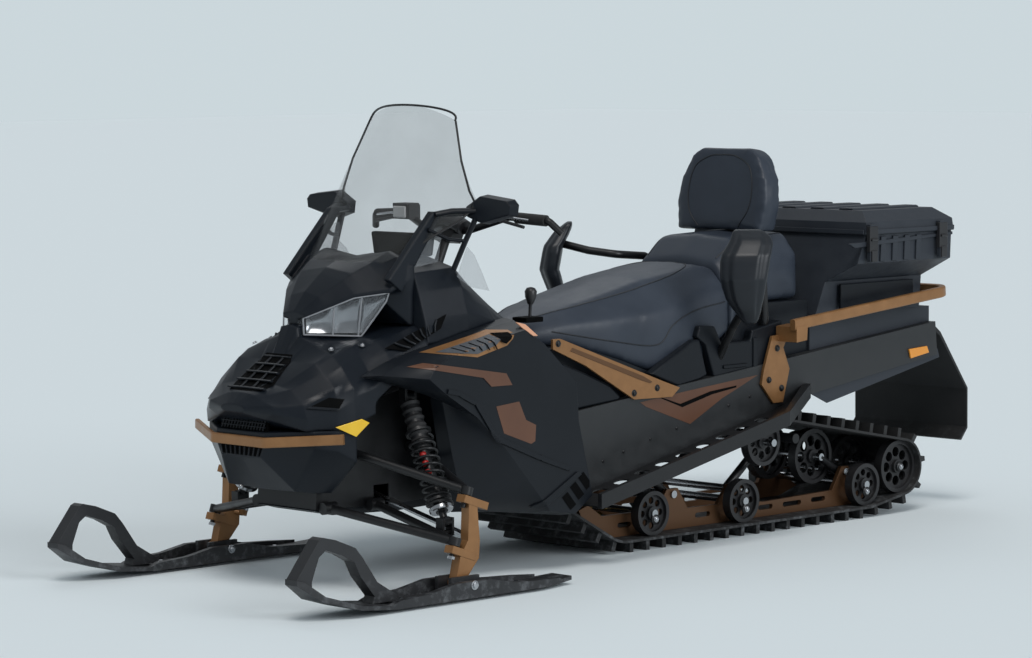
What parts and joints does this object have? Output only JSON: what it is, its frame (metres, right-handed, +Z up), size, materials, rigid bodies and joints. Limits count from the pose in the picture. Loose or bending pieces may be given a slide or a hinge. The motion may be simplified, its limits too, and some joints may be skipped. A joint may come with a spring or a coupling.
{
  "type": "utility snowmobile",
  "caption": "Two-seat utility snowmobile with steered skis, a rubber track, a tall windscreen, a passenger backrest and a hinged cargo box.",
  "frame": {"origin": "on the ground, in the middle of the overall width and length", "axes": "+Z up, the nose faces -Y, +X is the rider's left"},
  "size_m": [1.231, 3.291, 1.402],
  "materials": {
    "black_plastic": "satin charcoal",
    "box_plastic": "textured dark grey",
    "ski_plastic": "smooth dark grey",
    "runner_steel": "worn steel",
    "bronze_paint": "bronze paint",
    "black_metal": "black powder coat",
    "steel": "zinc plated",
    "gold_metal": "gold paint",
    "rubber": "black rubber",
    "wheel_plastic": "black moulded",
    "seat_vinyl": "blue grey vinyl",
    "screen_clear": "light smoke",
    "lamp_clear": "clear lens",
    "tail_red": "red lens",
    "control_plastic": "black moulded"
  },
  "bodies": {
    "chassis": {"backrest": "seat_vinyl", "belly_pan": "black_plastic", "box_deck": "box_plastic", "bumper_brackets": "bronze_paint", "cargo_box": "box_plastic", "console": "black_plastic", "cowl": "black_plastic", "drive_axle": "black_metal", "driver_seat": "seat_vinyl", "engine_block": "black_metal", "front_bumper": "bronze_paint", "front_frame": "black_metal", "front_shocks": "black_metal", "hand_guards": "black_plastic", "hand_holds": "black_metal", "headlights": "lamp_clear", "lower_arms": "black_metal", "lower_nose": "black_plastic", "mirrors": "black_plastic", "nose_cover": "black_plastic", "passenger_seat": "seat_vinyl", "rear_bumper": "bronze_paint", "rear_wheels": "wheel_plastic", "running_boards": "black_metal", "seat_base": "black_plastic", "side_panel_left": "black_plastic", "side_panel_right": "black_plastic", "side_struts": "bronze_paint", "skid_arms": "black_metal", "skid_axles": "steel", "skid_rails": "bronze_paint", "skid_shock": "gold_metal", "skid_wheels": "wheel_plastic", "snow_flap": "rubber", "tail_lamp": "tail_red", "tow_hitch": "black_metal", "track": "rubber", "tunnel": "black_metal", "upper_arms": "black_metal", "windscreen": "screen_clear"},
    "steering": {"steering_column": "black_metal", "handlebar": "black_metal", "grips": "rubber", "bar_controls": "control_plastic"},
    "tie_rods": {"tie_rods": "steel"},
    "spindle_left": {"spindle_left": "bronze_paint"},
    "spindle_right": {"spindle_right": "bronze_paint"},
    "ski_left": {"ski_left": "ski_plastic", "ski_loop_left": "ski_plastic", "ski_runner_left": "runner_steel"},
    "ski_right": {"ski_right": "ski_plastic", "ski_loop_right": "ski_plastic", "ski_runner_right": "runner_steel"},
    "cargo_lid": {"cargo_lid": "box_plastic", "lid_latches": "box_plastic"}
  },
  "joints": [
    {"name": "steering", "type": "hinge", "parent": "chassis", "child": "steering", "pos_m": [0, -0.545, 1.008], "axis": [0, 0.4226, 0.9063], "range_deg": [-26, 26]},
    {"name": "tie_rod_slide", "type": "slide", "parent": "chassis", "child": "tie_rods", "axis": [1, 0, 0], "range_m": [-0.0375, 0.0375]},
    {"name": "spindle_left_turn", "type": "hinge", "parent": "chassis", "child": "spindle_left", "pos_m": [0.5385, -1.036, 0.141], "axis": [0, 0.3256, 0.9455], "range_deg": [-26, 26]},
    {"name": "spindle_right_turn", "type": "hinge", "parent": "chassis", "child": "spindle_right", "pos_m": [-0.5385, -1.036, 0.141], "axis": [0, 0.3256, 0.9455], "range_deg": [-26, 26]},
    {"name": "ski_left_rock", "type": "hinge", "parent": "spindle_left", "child": "ski_left", "pos_m": [0.5425, -1.023, 0.047], "axis": [1, 0, 0], "range_deg": [-12, 12], "stiffness_Nm_per_rad": 80},
    {"name": "ski_right_rock", "type": "hinge", "parent": "spindle_right", "child": "ski_right", "pos_m": [-0.5425, -1.023, 0.047], "axis": [1, 0, 0], "range_deg": [-12, 12], "stiffness_Nm_per_rad": 80},
    {"name": "cargo_lid_hinge", "type": "hinge", "parent": "chassis", "child": "cargo_lid", "pos_m": [-0.396, 1.18, 0.953], "axis": [0, -1, 0], "range_deg": [0, 80]}
  ],
  "couplings": [
    {"joint": "spindle_left_turn", "follows": "steering", "ratio": 1},
    {"joint": "spindle_right_turn", "follows": "steering", "ratio": 1},
    {"joint": "tie_rod_slide", "follows": "steering", "m_per_rad": -0.082}
  ]
}
